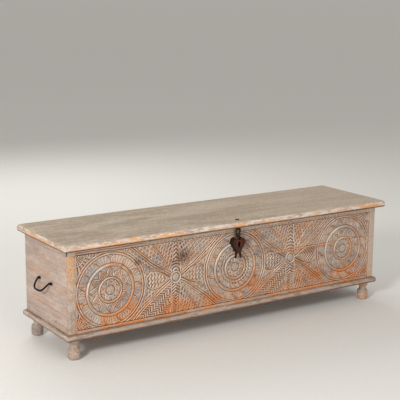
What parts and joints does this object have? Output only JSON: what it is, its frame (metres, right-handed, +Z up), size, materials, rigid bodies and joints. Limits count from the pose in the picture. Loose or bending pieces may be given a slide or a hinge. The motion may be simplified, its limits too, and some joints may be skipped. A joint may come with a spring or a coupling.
{
  "type": "carved wooden chest",
  "caption": "Long low carved storage chest with a lifting lid, turned feet, a heart-shaped box lock with hasp and swinging end handles.",
  "frame": {"origin": "middle of the object's footprint, on the floor that the feet stand on", "axes": "+X to the right along the length seen from the carved front, +Y to the back, +Z up"},
  "size_m": [1.7662, 0.477, 0.5169],
  "materials": {
    "carved_wood": "deep carving, limed in the hollows, worn orange-brown on the high parts",
    "front_frame_wood": "limed, worn",
    "end_wood": "limed, pinkish grey-beige, fine speckle",
    "back_wood": "plain, thinly limed",
    "inner_wood": "bare, dull",
    "moulding_wood": "limed, rubbed through on the nose",
    "foot_wood": "turned, limed, worn",
    "lid_wood": "khaki grey-tan, limed, worn orange on the nose",
    "nail_iron": "forged, dull",
    "hinge_iron": "forged, rusty",
    "lock_iron": "sheet iron, even brown rust, dark edges",
    "lock_works_iron": "filed, dull",
    "hasp_iron": "forged, near black",
    "handle_iron": "forged wire, near black"
  },
  "bodies": {
    "carcass": {"front_lower_board": "carved_wood", "front_upper_board": "carved_wood", "front_top_rail": "front_frame_wood", "front_left_stile": "front_frame_wood", "front_right_stile": "front_frame_wood", "left_end_bottom_board": "end_wood", "left_end_middle_board": "end_wood", "left_end_top_board": "end_wood", "right_end_bottom_board": "end_wood", "right_end_middle_board": "end_wood", "right_end_top_board": "end_wood", "back_lower_board": "back_wood", "back_upper_board": "back_wood", "floor_bearers": "inner_wood", "floor_front_board": "inner_wood", "floor_middle_board": "inner_wood", "floor_back_board": "inner_wood", "base_front_moulding": "moulding_wood", "base_back_moulding": "moulding_wood", "base_left_moulding": "moulding_wood", "base_right_moulding": "moulding_wood", "foot_front_left": "foot_wood", "foot_front_right": "foot_wood", "foot_back_left": "foot_wood", "foot_back_right": "foot_wood", "corner_pegs": "inner_wood", "floor_nails": "nail_iron", "hinge_left_back_leaf": "hinge_iron", "hinge_left_pin": "hinge_iron", "hinge_middle_back_leaf": "hinge_iron", "hinge_middle_pin": "hinge_iron", "hinge_right_back_leaf": "hinge_iron", "hinge_right_pin": "hinge_iron", "hinge_back_screws": "hinge_iron", "lock_back_plate": "lock_iron", "lock_cover": "lock_iron", "lock_bolt_guides": "lock_works_iron", "lock_spring": "lock_works_iron", "lock_key_post": "lock_works_iron", "lock_nails": "lock_works_iron", "left_handle_eyes": "handle_iron", "right_handle_eyes": "handle_iron"},
    "lid": {"lid_front_plank": "lid_wood", "lid_middle_plank": "lid_wood", "lid_back_plank": "lid_wood", "lid_left_batten": "inner_wood", "lid_middle_batten": "inner_wood", "lid_right_batten": "inner_wood", "batten_nails": "nail_iron", "hinge_lid_screws": "hinge_iron", "hasp_staple": "hasp_iron", "hinge_left_lid_leaf": "hinge_iron", "hinge_middle_lid_leaf": "hinge_iron", "hinge_right_lid_leaf": "hinge_iron"},
    "hasp": {"hasp_link": "hasp_iron"},
    "lock_bolt": {"lock_bolt": "lock_works_iron"},
    "left_handle": {"left_handle_bail": "handle_iron"},
    "right_handle": {"right_handle_bail": "handle_iron"}
  },
  "joints": [
    {"name": "lid_hinge", "type": "hinge", "parent": "carcass", "child": "lid", "pos_m": [0, 0.2298, 0.4742], "axis": [-1, 0, 0], "range_deg": [0, 100]},
    {"name": "hasp_swing", "type": "hinge", "parent": "lid", "child": "hasp", "pos_m": [0.001, -0.2135, 0.4705], "axis": [-1, 0, 0], "range_deg": [0, 95]},
    {"name": "lock_bolt_slide", "type": "slide", "parent": "carcass", "child": "lock_bolt", "axis": [-1, 0, 0], "range_m": [0, 0.01]},
    {"name": "left_handle_swing", "type": "hinge", "parent": "carcass", "child": "left_handle", "pos_m": [-0.8515, 0.0125, 0.304], "axis": [0, 1, 0], "range_deg": [0, 140]},
    {"name": "right_handle_swing", "type": "hinge", "parent": "carcass", "child": "right_handle", "pos_m": [0.8515, 0.0125, 0.304], "axis": [0, -1, 0], "range_deg": [0, 140]}
  ]
}
